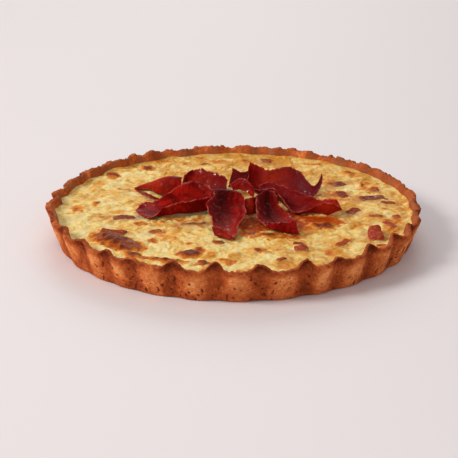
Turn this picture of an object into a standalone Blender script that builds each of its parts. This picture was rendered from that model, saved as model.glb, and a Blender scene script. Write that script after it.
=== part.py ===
"""A whole ham quiche: a fluted shortcrust shell, its baked custard, the diced ham set in the custard
and a rosette of crisp ham slices lying on top.

Run it with: blender --background --python part.py
Units are metres, +Z is up, and the origin is the centre of the underside.
"""

import math
import random

import bmesh
import bpy
from mathutils import Matrix, Vector, geometry, noise

MM = 0.001
TAU = 2 * math.pi
GAP = 0.35 * MM  # left between two pieces that touch
NOISE_SEED = 7

# Pastry shell
RIM_RADIUS = 140 * MM
BASE_RADIUS = 132.5 * MM
WALL_HEIGHT = 24 * MM
WALL_THICKNESS = 5 * MM
FLOOR_THICKNESS = 4 * MM
FLUTES = 30
FIRST_GROOVE = math.radians(0.5)
GROOVE_DEPTH = 5.5 * MM
GROOVE_DEPTH_AT_BASE = 1.6 * MM
INNER_GROOVES = 0.6  # how deep the grooves are on the inner side, as a share of the outer side's
GROOVE_SHARPNESS = 1.5  # above 1 the lobes are wider than the grooves
GROOVE_PEAK = 2.2 * MM  # how far the rim can stand up where a groove meets it
RIM_CRAG = 1.1 * MM
RIM_BLOCK = 1.3 * MM  # the height of the square crumbs that stand up along the back of the rim
FRONT_DIP = 0.5 * MM  # the front of the rim is lower than the wall's height, and the back is taller
BACK_RISE = 1.3 * MM
LEFT_RISE = 1.2 * MM  # the rim is taller at the left too
RIM_SHOULDER = 1.0 * MM  # the rounded shoulders of the rim are this far below its top
WALL_ROUGHNESS = 0.4 * MM
FOOT_INSET = 2.2 * MM  # the underside is set in this far from the foot of the wall
FOOT_HEIGHT = 1.5 * MM
LOW_BELT = 9 * MM  # heights where the outer side wanders in and out
HIGH_BELT = 17 * MM
STEPS_PER_FLUTE = 8

# Noise round the quiche: how many waves it has all the way round, and its row
CRAGS = (70, 3.7)
CRUMBS = (160, 9.1)
CRUMB_SHARE = 0.8  # the height of the crumbs as a share of the crags'
BLOCKS = (105, 21.7)
BLOCK_SIDE = 0.12  # the change of noise over a block's steep sides
WALL_WAVES = 90
EDGE_WAVES = (40, 6.3)

# The grooves that stand out, by number: degrees off its even place, depth as a share of the others', and
# how much taller the rim stands there, in mm
GROOVE_SHAPES = {
    0: (0, 0.45, 0), 1: (0, 0.5, 0), 2: (0, 0.6, 0), 14: (0.5, 0.9, 0), 15: (-3.5, 0.9, 0),
    16: (0, 0.35, 1), 17: (2.5, 0.5, 1), 18: (3.5, 0.45, 1), 19: (1.5, 0.5, 1), 20: (-1.5, 0.65, 1.5),
    21: (-0.5, 1, 2.4), 22: (0, 1, 4), 23: (0.5, 1, 3.2), 24: (2.5, 1, 4), 25: (0.5, 0.9, 1.6),
    26: (0.9, 1, 3.2), 27: (0.8, 0.7, 2.5), 28: (0, 0.5, 1.5), 29: (0, 0.45, 0.5),
}
# How far some of the lobes lean out, in mm, by the number of the groove before them
LEANING_LOBES = {13: -1.2, 14: 1.5, 15: 2, 16: 0.5, 17: 2.5, 18: 1, 26: 1.5, 27: 3.5, 28: 1.5}
LEAN_AT_BASE = 0.25  # the part of a lobe's lean that it already has at its foot

# Custard
FILL_LINE = 20.6 * MM  # the highest that the custard reaches on the wall
CUSTARD_EDGE = 19.7 * MM
CUSTARD_CLIMB = 0.5 * MM  # how far its edge wanders up and down the wall
CUSTARD_INSET = 0.5 * MM  # the clear space between the custard and the wall
CUSTARD_LEVEL = 19.6 * MM
CUSTARD_LUMP = 0.8 * MM
LUMP_LENGTH = 24 * MM
LUMP_ROW = 5.5  # the row of noise that the lumps are read from
SMALL_LUMP_ROW = 8.5
SMALL_LUMPS = 0.4  # the height of the lumps of half the length, as a share of the large ones'
GRID_STEP = 7.4 * MM

# Crisp ham slices
SLICE_THICKNESS = 1.1 * MM
SLICE_CLEARANCE = 0.5 * MM
SLICE_STEPS_PER_SPAN = 2
SLICE_STEPS_ACROSS = 6

# Diced ham
DICE_BEVEL = 1.3 * MM
DICE_JITTER = 0.5 * MM

# Browned blisters that rise from the custard: x, y, length, width in mm, angle in degrees, height in mm
BLISTERS = (
    (-83, -72, 46, 20, -41, 3.6),
    (-31, -96, 18, 13, 10, 1.8),
    (-70, -96, 14, 11, -35, 1.4),
    (-44, -108, 30, 10, -12, 1.6),
    (64, -42, 16, 12, 20, 1.0),
    (-4, -94, 16, 12, 0, 0.8),
    (92, 78, 20, 12, -40, 1.2),
    (-97, 74, 12, 9, 50, 1.0),
    (-70, 94, 12, 10, 0, 1.0),
    (4, 113, 20, 9, 0, 1.0),
)

# Diced ham: x, y, length, width, height, angle, tilt towards the front, and how far it stands proud of
# the custard (mm and degrees)
DICE = (
    (-82, -24, 17, 9, 6, 5, 0, 1.4),
    (-87, -56, 19, 8, 6, -14, 4, 2.4),
    (-57, -53, 10, 7, 6, 30, 8, 1.2),
    (-12, -74, 8, 6, 6, 20, 0, 1.6),
    (12, -56, 7, 6, 5, -10, 0, 1.2),
    (46, -87, 10, 8, 7, 15, 10, 2.2),
    (32, -105, 8, 6, 6, 35, 0, 1.6),
    (89, -11, 12, 9, 6, 55, 0, 1.6),
    (107, 20, 21, 10, 6, 10, 0, 1.4),
    (117, 7, 11, 5, 6, 14, 0, 1.8),
    (100, -62, 10, 17, 11, 3, 26, 6.4),
    (113, -39, 13, 7, 6, -60, 0, 1.6),
    (104, -22, 12, 6, 6, 0, 0, 1.2),
    (120, -22, 7, 8, 6, 20, 0, 1.2),
    (76, -75, 13, 6, 6, 50, 0, 1.4),
    (82, 53, 15, 11, 6, 30, 0, 1.3),
    (84, 28, 9, 14, 6, 10, 0, 1.6),
    (110, 39, 8, 10, 6, -15, 0, 1.4),
    (-30, -38, 19, 5, 6, 12, 0, 1.2),
    (-22, -111, 6, 8, 6, 15, 0, 1.6),
    (27, 113, 9, 11, 6, 0, 0, 1.4),
)

# Crisp ham slices. Each is a thin sheet laid through three rails, given in mm: one edge, the middle and
# the other edge, all from the inner end of the slice to its outer end.
SLICES = {
    "ham_slice_left": (
        (
            (-17, 0, 33.5), (-22, 6, 36.5), (-32, 10, 37), (-43, 6, 35),
            (-52, -1, 30), (-59, -1, 25), (-68, -3, 24.5),
        ),
        (
            (-16, -9, 22), (-22, -10, 21), (-29, -12, 21), (-39, -15, 21),
            (-49, -19, 21), (-60, -19, 21), (-74, -14, 22.5),
        ),
        (
            (-15.5, -13.5, 30.5), (-21, -13.5, 33), (-32, -20, 32), (-43, -22, 31.5),
            (-52, -25, 28), (-59, -28, 23), (-63, -31, 21),
        ),
    ),
    "ham_slice_far_left": (
        ((-43, 38, 22), (-48, 45, 21), (-56, 48, 21), (-63, 47, 21), (-70, 46, 21), (-78, 42, 21)),
        ((-40.5, 25, 34.5), (-48, 27, 35), (-57, 29, 32.5), (-64, 33, 28.5), (-70, 40, 24), (-79, 40, 21)),
        ((-42, 15, 24), (-49, 17, 23), (-57, 20, 22.5), (-65, 30, 22), (-71, 37, 21.5), (-78, 38, 21)),
    ),
    "ham_slice_far_left_under": (
        ((-51, 11, 22), (-58, 15, 21), (-66, 25, 21), (-73, 34, 21)),
        ((-53, 8, 22), (-60, 13, 21.5), (-68, 23, 21), (-75, 34, 21)),
        ((-54, 6, 22), (-62, 11, 22), (-69, 22, 21.5), (-77, 34, 21)),
    ),
    "ham_slice_back_left": (
        ((-5, 24, 34), (-12, 34, 35), (-18, 38, 35.5), (-25, 43, 36.5), (-34, 43, 35.5), (-39, 37, 33)),
        ((-6, 18, 27), (-12, 25, 22), (-20, 28, 21), (-28, 30, 21), (-36, 30, 21), (-41, 29, 23)),
        ((-5, 12, 30), (-11, 14, 28), (-19, 16, 27), (-28, 18, 26), (-35, 19, 25), (-38, 22, 25)),
    ),
    "ham_slice_back": (
        ((-1.5, 46, 36), (4, 45, 33), (11, 47, 33.5)),
        ((-3, 45, 28), (4, 43, 26), (12, 44, 27)),
        ((-5, 42, 21), (3, 39, 21), (12, 41, 21)),
    ),
    "ham_slice_back_right": (
        (
            (12, 46, 42), (20, 44, 38), (28, 40, 36), (42, 42, 39),
            (50, 38, 36.5), (61, 25, 28), (68, 31, 36.5),
        ),
        (
            (10, 28, 28), (19, 29, 22), (29, 28, 21), (41, 28, 21),
            (51, 27, 21), (60, 22, 21), (67, 25, 28.5),
        ),
        (
            (11, 16, 30), (20, 15, 28), (30, 15, 26), (41, 16, 25),
            (51, 17, 24), (59, 17.5, 22.5), (62, 19, 23),
        ),
    ),
    "ham_slice_right": (
        (
            (19, 9, 33), (27, 10, 36), (38, 7, 34), (48, 5, 31.5),
            (56, 1, 29), (63, -3, 28), (70, -8, 29.5), (76, -14, 31),
        ),
        (
            (20, 5, 30), (28, 3, 29), (37, -3, 24), (46, -9, 21),
            (55, -13, 21), (63, -17, 21), (71, -21, 22), (79, -20, 26),
        ),
        (
            (20, 1, 33), (29, 0, 35), (35, -9, 30.5), (43, -18, 23),
            (53, -20, 24.5), (62, -23, 30.5), (70, -25, 32), (77, -24, 29),
        ),
    ),
    "ham_slice_front_right": (
        ((31, -6, 32.5), (34, -14, 26), (40, -25, 24), (43, -38, 25), (46, -62, 21.5), (43.5, -54, 29.5)),
        ((25, -3, 34), (25, -13, 26), (27, -25, 21), (30, -38, 21), (34, -55, 21), (34, -56, 28.5)),
        ((16, -12, 33), (15.5, -22, 30.5), (16.5, -30, 27.5), (17, -42, 26), (22, -52, 23.5), (23, -50, 27)),
    ),
    "ham_slice_front_right_under": (
        ((15.2, -10, 31), (15.5, -14, 26), (16, -18, 21)),
        ((12, -11.5, 31.5), (12, -17, 26), (12, -21, 21)),
        ((8, -12.5, 30), (8, -16, 26), (8, -20, 21)),
    ),
    "ham_slice_front": (
        (
            (4, 5, 21), (5, 0, 29), (5.5, -9, 33), (8, -19, 29.5),
            (8, -40, 27), (2.5, -53, 25), (0, -72, 21.3), (1.5, -67, 23),
        ),
        (
            (-4, 6, 21), (-4, 1, 29), (-3, -7, 35.3), (-6, -18, 28),
            (-6, -33, 23), (-6, -49, 21), (-8, -67, 21), (-7, -62, 26.5),
        ),
        (
            (-9, 3, 23), (-11, -2, 30), (-17.5, -6, 36), (-15.5, -15, 34),
            (-21, -27, 32), (-16.5, -46, 26), (-14.5, -63, 21.3), (-17, -58, 26.3),
        ),
    ),
    "ham_slice_centre": (
        ((-2, 14, 31), (4, 17, 33), (10, 13, 34), (15, 5, 31)),
        ((-3, 9, 34.5), (4, 10, 38.5), (10, 7, 37.5), (15, -2, 33)),
        ((-1, 5, 31.5), (4, 4.5, 32), (9, 0, 31.5), (14, -6, 29.5)),
    ),
}
RUFFLE = 0.7 * MM  # how far a slice's edges wander
RUFFLE_LENGTH = 9 * MM


def clear_scene():
    for obj in list(bpy.data.objects):
        bpy.data.objects.remove(obj, do_unlink=True)


def material(name, colour, roughness):
    """A Principled material of one colour, given as linear red, green and blue."""
    made = bpy.data.materials.new(name)
    made.use_nodes = True
    shader = made.node_tree.nodes["Principled BSDF"]
    shader.inputs["Base Color"].default_value = (*colour, 1)
    shader.inputs["Roughness"].default_value = roughness
    made.diffuse_color = (*colour, 1)
    return made


def add_object(name, mesh, finish=None):
    obj = bpy.data.objects.new(name, mesh)
    bpy.context.scene.collection.objects.link(obj)
    if finish:
        mesh.materials.append(finish)
    return obj


def mesh_from(name, points, faces):
    """A mesh of these points and faces, shaded smooth except at its sharp edges."""
    mesh = bpy.data.meshes.new(name)
    mesh.from_pydata([tuple(p) for p in points], [], faces)
    mesh.shade_smooth()
    mesh.set_sharp_from_angle(angle=math.radians(40))
    return mesh


def lattice(*values):
    """Smooth noise from -1 to 1 at a point whose coordinates are given."""
    return noise.noise(Vector(values))


def round_noise(angle, waves, row):
    """Smooth noise that closes on itself round the quiche."""
    reach = waves / TAU
    return lattice(reach * math.cos(angle), reach * math.sin(angle), row)


# ---------------------------------------------------------------- pastry shell


def flute_jitter(index):
    """(turn, depth, peak) of one groove: how far it is off its even place, and how deep and tall it is."""
    draw = random.Random(f"groove {index % FLUTES}")
    any_turn = (draw.uniform(-1.2, 1.2), 1, 0)
    turn, depth, taller = GROOVE_SHAPES.get(index % FLUTES, any_turn)
    peak = GROOVE_PEAK * draw.uniform(0.15, 1.0) + taller * MM
    return math.radians(turn), depth * draw.uniform(0.75, 1.15), peak


def station(step):
    """(angle, flute, peak) at a step round the wall.

    flute is (groove, depth, lean): groove is 1 in a groove and 0 on a lobe, and lean is how far the rim
    leans out. peak is how much taller the rim is there.
    """
    share = step / STEPS_PER_FLUTE
    low = math.floor(share)
    along = share - low
    first, second = flute_jitter(low), flute_jitter(low + 1)
    turn, depth, peak = (a + (b - a) * along for a, b in zip(first, second))
    angle = FIRST_GROOVE + share * TAU / FLUTES + turn
    groove = (0.5 + 0.5 * math.cos(TAU * share)) ** GROOVE_SHARPNESS
    lean = LEANING_LOBES.get(low % FLUTES, 0) * MM * math.sin(math.pi * along) ** 2
    return angle, (groove, depth, lean), peak * groove**2


def outer_radius(flute, height):
    groove, depth, lean = flute
    share = height / WALL_HEIGHT
    radius = BASE_RADIUS + (RIM_RADIUS - BASE_RADIUS) * share
    radius += lean * (LEAN_AT_BASE + (1 - LEAN_AT_BASE) * share)
    reach = GROOVE_DEPTH_AT_BASE + (GROOVE_DEPTH - GROOVE_DEPTH_AT_BASE) * share
    return radius - reach * depth * groove


def inner_radius(flute, height):
    """The wall's inner side, where the grooves are rounder."""
    groove, depth, lean = flute
    return outer_radius((groove * INNER_GROOVES, depth, lean), height) - WALL_THICKNESS


def rim_top(angle, peak):
    """The rim's height at this angle: uneven all round, and taller and more crumbly at the back."""
    back = 0.5 + 0.5 * math.sin(angle)
    crag = RIM_CRAG * (round_noise(angle, *CRAGS) + CRUMB_SHARE * round_noise(angle, *CRUMBS))
    block = min(max(round_noise(angle, *BLOCKS) / BLOCK_SIDE + 0.5, 0), 1)
    left = max(0, -math.cos(angle)) ** 2
    level = WALL_HEIGHT - FRONT_DIP + BACK_RISE * back + LEFT_RISE * left
    return level + RIM_BLOCK * back * block + crag + peak


def wall_section(step):
    """(angle, outline) of the wall at one step.

    The outline is a list of (radius, height), from the underside up the outer side, over the rim and down
    to the floor.
    """
    angle, flute, peak = station(step)
    top = rim_top(angle, peak)

    def outer(height):
        rough = round_noise(angle, WALL_WAVES, height / MM)
        return outer_radius(flute, height) + WALL_ROUGHNESS * rough

    inner_top = inner_radius(flute, WALL_HEIGHT)
    outline = [
        (outer(0) - FOOT_INSET, 0.0),
        (outer(FOOT_HEIGHT), FOOT_HEIGHT),
        (outer(LOW_BELT), LOW_BELT),
        (outer(HIGH_BELT), HIGH_BELT),
        (outer(WALL_HEIGHT - RIM_SHOULDER), top - RIM_SHOULDER),
        ((outer(WALL_HEIGHT) + inner_top) / 2, top),
        (inner_top + WALL_THICKNESS / 12, top - RIM_SHOULDER),
        (inner_radius(flute, FILL_LINE), FILL_LINE),
        (inner_radius(flute, FLOOR_THICKNESS), FLOOR_THICKNESS),
    ]
    return angle, outline


def polar(radius, angle, height):
    return Vector((radius * math.cos(angle), radius * math.sin(angle), height))


def ring_faces(first, second, count, rising=False):
    """Triangles between two rings of count points, whose first points have these numbers.

    rising chooses which way the diagonals run, so that two walls that face each other can be split alike.
    """
    faces = []
    for i in range(count):
        a, b = first + i, first + (i + 1) % count
        c, d = second + (i + 1) % count, second + i
        faces += [(a, b, d), (b, c, d)] if rising else [(a, b, c), (a, c, d)]
    return faces


def crust_mesh():
    count = FLUTES * STEPS_PER_FLUTE
    sections = [wall_section(step) for step in range(count)]
    rings = len(sections[0][1])
    points = [
        polar(outline[ring][0], angle, outline[ring][1])
        for ring in range(rings)
        for angle, outline in sections
    ]
    faces = []
    for ring in range(rings - 1):
        faces += ring_faces(ring * count, (ring + 1) * count, count)
    under, floor = len(points), len(points) + 1
    points += [Vector((0, 0, 0)), Vector((0, 0, FLOOR_THICKNESS))]
    last = (rings - 1) * count
    for i in range(count):
        j = (i + 1) % count
        faces.append((under, j, i))
        faces.append((floor, last + i, last + j))
    return mesh_from("crust", points, faces)


# ---------------------------------------------------------------- custard


def dome(x, y, centre_x, centre_y, length, width, angle):
    """1 at the middle of an ellipse and 0 outside it. The ellipse is given in mm and degrees."""
    turn = math.radians(angle)
    dx, dy = x - centre_x * MM, y - centre_y * MM
    along = (dx * math.cos(turn) + dy * math.sin(turn)) / (length * MM / 2)
    across = (dy * math.cos(turn) - dx * math.sin(turn)) / (width * MM / 2)
    return max(0.0, 1 - along**2 - across**2) ** 0.8


def custard_height(x, y):
    """The height of the baked custard's surface."""
    lumps = lattice(x / LUMP_LENGTH, y / LUMP_LENGTH, LUMP_ROW)
    lumps += SMALL_LUMPS * lattice(x / LUMP_LENGTH * 2, y / LUMP_LENGTH * 2, SMALL_LUMP_ROW)
    height = CUSTARD_LEVEL + CUSTARD_LUMP * lumps
    for centre_x, centre_y, length, width, angle, rise in BLISTERS:
        height += rise * MM * dome(x, y, centre_x, centre_y, length, width, angle)
    return height


def custard_edge(step):
    """The custard's outline at one step: its upper and lower edge, as points."""
    angle, flute, _ = station(step)
    top = min(CUSTARD_EDGE + CUSTARD_CLIMB * round_noise(angle, *EDGE_WAVES), FILL_LINE)
    low = FLOOR_THICKNESS + GAP
    at_floor = inner_radius(flute, FLOOR_THICKNESS)
    slope = (inner_radius(flute, FILL_LINE) - at_floor) / (FILL_LINE - FLOOR_THICKNESS)

    def inside(height):
        return at_floor + slope * (height - FLOOR_THICKNESS) - CUSTARD_INSET

    return polar(inside(top), angle, top), polar(inside(low), angle, low)


def hex_points(radius, step):
    """Points of a triangular grid inside a circle, in rows a little less than a step apart."""
    row_step = step * math.sqrt(3) / 2
    rows = math.ceil(radius / row_step)
    made = []
    for row in range(-rows, rows + 1):
        y = row * row_step
        columns = math.ceil(radius / step) + 1
        for column in range(-columns, columns + 1):
            x = (column + (row % 2) / 2) * step
            if math.hypot(x, y) < radius:
                made.append(Vector((x, y)))
    return made


def custard_mesh():
    count = FLUTES * STEPS_PER_FLUTE
    edges = [custard_edge(step) for step in range(count)]
    upper = [edge[0] for edge in edges]
    lower = [edge[1] for edge in edges]
    clear_of_edge = RIM_RADIUS - WALL_THICKNESS - GROOVE_DEPTH - GRID_STEP
    inside = hex_points(clear_of_edge, GRID_STEP)
    flat = [Vector((p.x, p.y)) for p in upper] + inside
    rim_edges = [(i, (i + 1) % count) for i in range(count)]
    placed, _, triangles, *_ = geometry.delaunay_2d_cdt(flat, rim_edges, [], 1, 1e-7)
    points = list(upper) + [Vector((p.x, p.y, custard_height(p.x, p.y))) for p in placed[count:]]
    base = len(points)
    points += lower
    points.append(Vector((0, 0, FLOOR_THICKNESS + GAP)))
    faces = [tuple(t) for t in triangles]
    faces += ring_faces(base, 0, count, rising=True)
    centre = len(points) - 1
    faces += [(centre, base + (i + 1) % count, base + i) for i in range(count)]
    return mesh_from("custard", points, faces)


# ---------------------------------------------------------------- diced ham


def dice_mesh(name, spec, grow=0.0):
    """An uneven block with soft edges, centred on its own origin. grow makes it larger all round."""
    _, _, length, width, height, *_ = spec
    size = Vector((length, width, height)) * MM
    body = bmesh.new()
    bmesh.ops.create_cube(body, size=1)
    for corner in body.verts:
        shift = noise.noise_vector(corner.co * 7 + Vector(spec[:3]))
        corner.co = Vector(corner.co[i] * size[i] + DICE_JITTER * 2 * shift[i] for i in range(3))
    bmesh.ops.bevel(body, geom=body.edges[:], offset=DICE_BEVEL, segments=1, affect="EDGES")
    bmesh.ops.triangulate(body, faces=body.faces[:])
    body.normal_update()
    for corner in body.verts:
        corner.co += corner.normal * grow
    mesh = bpy.data.meshes.new(name)
    body.to_mesh(mesh)
    body.free()
    mesh.shade_smooth()
    mesh.set_sharp_from_angle(angle=math.radians(50))
    return mesh


def place_dice(obj, spec):
    x, y, _, _, height, angle, tilt, proud = spec
    level = custard_height(x * MM, y * MM) - (height / 2 - proud) * MM
    turn = Matrix.Rotation(math.radians(tilt), 4, "X") @ Matrix.Rotation(math.radians(angle), 4, "Z")
    obj.matrix_world = Matrix.Translation((x * MM, y * MM, level)) @ turn


# ---------------------------------------------------------------- crisp ham slices


def along_rail(rail, share):
    """The point at a share of a rail's length, on a smooth curve through the rail's own points."""
    spans = len(rail) - 1
    place = min(share, 1.0) * spans
    index = min(int(place), spans - 1)
    t = place - index
    before, start, end, after = (Vector(rail[min(max(index + i, 0), spans)]) for i in (-1, 0, 1, 2))
    curve = start * 2 + (end - before) * t
    curve += (before * 2 - start * 5 + end * 4 - after) * t**2
    curve += (start * 3 - end * 3 + after - before) * t**3
    return curve / 2 * MM


def slice_point(rails, along, across):
    """A point on a slice. along runs from 0 to 1, and across from -1 at one edge to 1 at the other."""
    first, middle, last = (along_rail(rail, along) for rail in rails)
    point = middle + (last - first) / 2 * across + ((first + last) / 2 - middle) * across**2
    near_edge = max(across**4, (2 * along - 1) ** 8)
    point += noise.noise_vector(point / RUFFLE_LENGTH) * RUFFLE * near_edge
    lowest = custard_height(point.x, point.y) + SLICE_CLEARANCE + SLICE_THICKNESS / 2
    point.z = max(point.z, lowest)
    return point


def slice_mesh(name, rails):
    """A slice's middle surface, from its inner to its outer end."""
    steps = SLICE_STEPS_PER_SPAN * (len(rails[0]) - 1)
    columns = SLICE_STEPS_ACROSS + 1
    points = [
        slice_point(rails, row / steps, 2 * column / SLICE_STEPS_ACROSS - 1)
        for row in range(steps + 1)
        for column in range(columns)
    ]
    faces = []
    for row in range(steps):
        for column in range(SLICE_STEPS_ACROSS):
            a = row * columns + column
            b, c, d = a + 1, a + columns + 1, a + columns
            faces += [(a, d, c), (a, c, b)]
    return mesh_from(name, points, faces)


def thicken(obj):
    shell = obj.modifiers.new("thickness", "SOLIDIFY")
    shell.thickness = SLICE_THICKNESS
    shell.offset = 0
    shell.use_even_offset = True
    shell.use_quality_normals = True


# ---------------------------------------------------------------- the whole


def main():
    clear_scene()
    noise.seed_set(NOISE_SEED)
    pastry = material("pastry", (0.48, 0.17, 0.055), 0.75)
    custard = material("custard", (0.80, 0.58, 0.22), 0.5)
    diced = material("diced_ham", (0.35, 0.10, 0.08), 0.45)
    crisp = material("crisp_ham", (0.28, 0.012, 0.012), 0.35)
    add_object("crust", crust_mesh(), pastry)
    filling = add_object("custard", custard_mesh(), custard)

    pockets = bpy.data.collections.new("dice_pockets")
    bpy.context.scene.collection.children.link(pockets)
    for number, spec in enumerate(DICE, 1):
        dice = add_object(f"ham_dice_{number:02d}", dice_mesh("dice", spec), diced)
        place_dice(dice, spec)
        pocket = bpy.data.objects.new(f"pocket_{number:02d}", dice_mesh("pocket", spec, GAP))
        pockets.objects.link(pocket)
        place_dice(pocket, spec)
        pocket.hide_render = True
        pocket.display_type = "WIRE"
    cut = filling.modifiers.new("dice_pockets", "BOOLEAN")
    cut.operation = "DIFFERENCE"
    cut.operand_type = "COLLECTION"
    cut.collection = pockets
    cut.solver = "EXACT"

    for name, rails in SLICES.items():
        thicken(add_object(name, slice_mesh(name, rails), crisp))


main()
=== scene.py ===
"""The looks of a whole ham quiche: a fluted shortcrust shell with pits and a browned rim, a baked cheese
custard with browned blisters and diced ham in it, and a rosette of crisp, oily ham slices."""

import math
import random

import bpy
import numpy as np
from mathutils import Matrix, Vector, noise


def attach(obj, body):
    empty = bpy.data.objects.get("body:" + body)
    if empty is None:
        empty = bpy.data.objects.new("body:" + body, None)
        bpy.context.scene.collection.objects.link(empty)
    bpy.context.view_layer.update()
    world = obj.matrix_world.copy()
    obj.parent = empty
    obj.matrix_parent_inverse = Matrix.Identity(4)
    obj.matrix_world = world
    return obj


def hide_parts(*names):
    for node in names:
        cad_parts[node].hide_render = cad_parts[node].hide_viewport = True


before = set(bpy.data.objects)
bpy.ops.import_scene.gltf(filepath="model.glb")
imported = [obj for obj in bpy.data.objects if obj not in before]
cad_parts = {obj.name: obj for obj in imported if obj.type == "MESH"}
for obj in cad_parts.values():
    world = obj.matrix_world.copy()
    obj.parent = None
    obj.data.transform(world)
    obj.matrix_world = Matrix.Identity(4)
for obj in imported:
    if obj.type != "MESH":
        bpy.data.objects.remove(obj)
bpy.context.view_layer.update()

MM = 0.001
TAU = 2 * math.pi

# ---------------------------------------------------------------- sizes that the CAD has too

NOISE_SEED = 7
noise.seed_set(NOISE_SEED)

RIM_RADIUS = 140 * MM
BASE_RADIUS = 132.5 * MM
WALL_HEIGHT = 24 * MM
WALL_THICKNESS = 5 * MM
FLOOR_THICKNESS = 4 * MM
FLUTES = 30
FIRST_GROOVE = math.radians(0.5)
GROOVE_DEPTH = 5.5 * MM
GROOVE_DEPTH_AT_BASE = 1.6 * MM
INNER_GROOVES = 0.6  # how deep the grooves are on the inner side, as a share of the outer side's
GROOVE_SHARPNESS = 1.5
GROOVE_PEAK = 2.2 * MM
RIM_CRAG = 1.1 * MM
RIM_BLOCK = 1.3 * MM
FRONT_DIP = 0.5 * MM
BACK_RISE = 1.3 * MM
LEFT_RISE = 1.2 * MM
RIM_SHOULDER = 1.0 * MM
FOOT_INSET = 2.2 * MM
FOOT_HEIGHT = 1.5 * MM
CUSTARD_LEVEL = 19.6 * MM
CUSTARD_LUMP = 0.8 * MM
LUMP_LENGTH = 24 * MM
LUMP_ROW = 5.5  # the row of noise that the lumps are read from
SMALL_LUMP_ROW = 8.5
SMALL_LUMPS = 0.4  # the height of the lumps of half the length, as a share of the large ones'
SLICE_CLEARANCE = 0.5 * MM
SLICE_THICKNESS = 1.1 * MM
RUFFLE = 0.7 * MM
RUFFLE_LENGTH = 9 * MM

# Noise round the quiche: how many waves it has all the way round, and its row
CRAGS = (70, 3.7)
CRUMBS = (160, 9.1)
CRUMB_SHARE = 0.8  # the height of the crumbs as a share of the crags'
BLOCKS = (105, 21.7)
BLOCK_SIDE = 0.12  # the change of noise over a block's steep sides

# The grooves that stand out, by number: degrees off its even place, depth as a share of the others', and
# how much taller the rim stands there, in mm
GROOVE_SHAPES = {
    0: (0, 0.45, 0), 1: (0, 0.5, 0), 2: (0, 0.6, 0), 14: (0.5, 0.9, 0), 15: (-3.5, 0.9, 0),
    16: (0, 0.35, 1), 17: (2.5, 0.5, 1), 18: (3.5, 0.45, 1), 19: (1.5, 0.5, 1), 20: (-1.5, 0.65, 1.5),
    21: (-0.5, 1, 2.4), 22: (0, 1, 4), 23: (0.5, 1, 3.2), 24: (2.5, 1, 4), 25: (0.5, 0.9, 1.6),
    26: (0.9, 1, 3.2), 27: (0.8, 0.7, 2.5), 28: (0, 0.5, 1.5), 29: (0, 0.45, 0.5),
}
# How far some of the lobes lean out, in mm, by the number of the groove before them
LEANING_LOBES = {13: -1.2, 14: 1.5, 15: 2, 16: 0.5, 17: 2.5, 18: 1, 26: 1.5, 27: 3.5, 28: 1.5}
LEAN_AT_BASE = 0.25  # the part of a lobe's lean that it already has at its foot

# Browned blisters that rise from the custard: x, y, length, width in mm, angle in degrees, height in mm
BLISTERS = (
    (-83, -72, 46, 20, -41, 3.6),
    (-31, -96, 18, 13, 10, 1.8),
    (-70, -96, 14, 11, -35, 1.4),
    (-44, -108, 30, 10, -12, 1.6),
    (64, -42, 16, 12, 20, 1.0),
    (-4, -94, 16, 12, 0, 0.8),
    (92, 78, 20, 12, -40, 1.2),
    (-97, 74, 12, 9, 50, 1.0),
    (-70, 94, 12, 10, 0, 1.0),
    (4, 113, 20, 9, 0, 1.0),
)

# Diced ham: x, y, length, width, height, angle, tilt towards the front, how far it stands proud
# (mm and degrees), then two looks that the CAD doesn't have: how purple it is, from 0 to about 1, and how
# browned, from 0 to 1
DICE = (
    (-82, -24, 17, 9, 6, 5, 0, 1.4, 0.9, 0.2),
    (-87, -56, 19, 8, 6, -14, 4, 2.4, 0.3, 0.8),
    (-57, -53, 10, 7, 6, 30, 8, 1.2, 0.3, 0.4),
    (-12, -74, 8, 6, 6, 20, 0, 1.6, 0.1, 0.9),
    (12, -56, 7, 6, 5, -10, 0, 1.2, 1.0, 0.0),
    (46, -87, 10, 8, 7, 15, 10, 2.2, 0.1, 0.2),
    (32, -105, 8, 6, 6, 35, 0, 1.6, 0.0, 0.5),
    (89, -11, 12, 9, 6, 55, 0, 1.6, 0.6, 0.3),
    (107, 20, 21, 10, 6, 10, 0, 1.4, 1.1, 0.1),
    (117, 7, 11, 5, 6, 14, 0, 1.8, 0.2, 0.5),
    (100, -62, 10, 17, 11, 3, 26, 6.4, 0.1, 0.1),
    (113, -39, 13, 7, 6, -60, 0, 1.6, 0.1, 0.3),
    (104, -22, 12, 6, 6, 0, 0, 1.2, 0.0, 0.6),
    (120, -22, 7, 8, 6, 20, 0, 1.2, 0.0, 0.7),
    (76, -75, 13, 6, 6, 50, 0, 1.4, 0.0, 0.5),
    (82, 53, 15, 11, 6, 30, 0, 1.3, 1.0, 0.1),
    (84, 28, 9, 14, 6, 10, 0, 1.6, 0.7, 0.3),
    (110, 39, 8, 10, 6, -15, 0, 1.4, 0.0, 0.9),
    (-30, -38, 19, 5, 6, 12, 0, 1.2, 0.9, 0.2),
    (-22, -111, 6, 8, 6, 15, 0, 1.6, 0.1, 1.0),
    (27, 113, 9, 11, 6, 0, 0, 1.4, 0.2, 0.8),
)

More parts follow.
